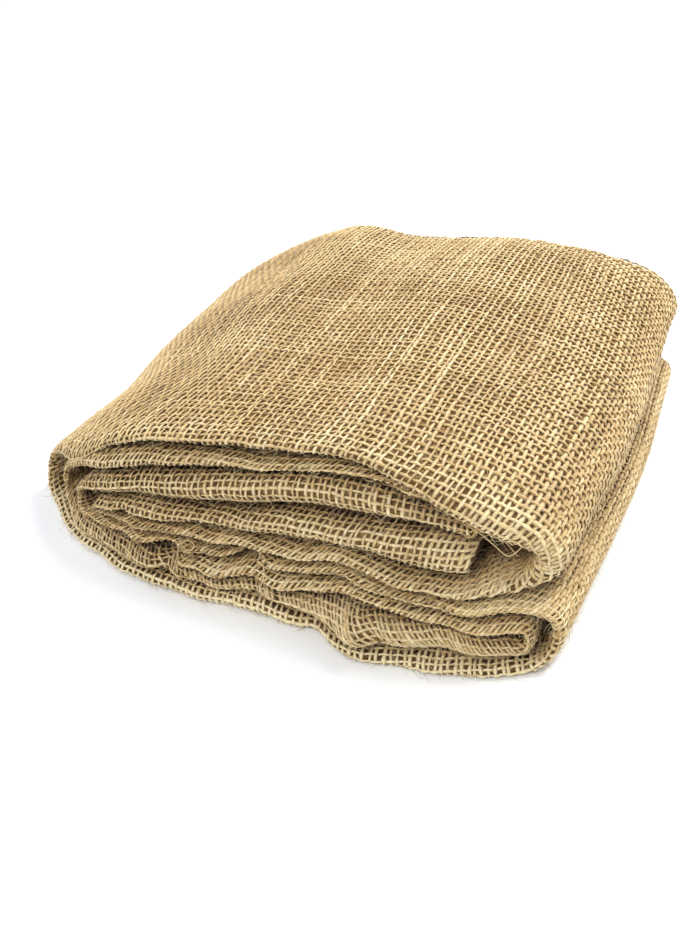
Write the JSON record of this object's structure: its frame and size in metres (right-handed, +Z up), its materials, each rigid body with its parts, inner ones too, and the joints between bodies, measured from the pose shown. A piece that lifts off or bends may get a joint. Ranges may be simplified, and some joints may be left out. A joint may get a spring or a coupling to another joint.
{
  "type": "folded jute cloth",
  "caption": "Length of natural open-weave jute cloth, doubled and folded back and forth into a flat-lying stack with rounded front folds.",
  "frame": {"origin": "centre of the bounding box in plan, at the height of the surface that the stack lies on", "axes": "+X to the right along the front, where the layers show; +Y towards the back; +Z up"},
  "size_m": [0.3256, 0.3072, 0.0885],
  "materials": {
    "natural_jute": "loose plain weave of hairy natural jute yarn"
  },
  "bodies": {
    "root": {"folded_jute_cloth": "natural_jute"}
  },
  "joints": []
}
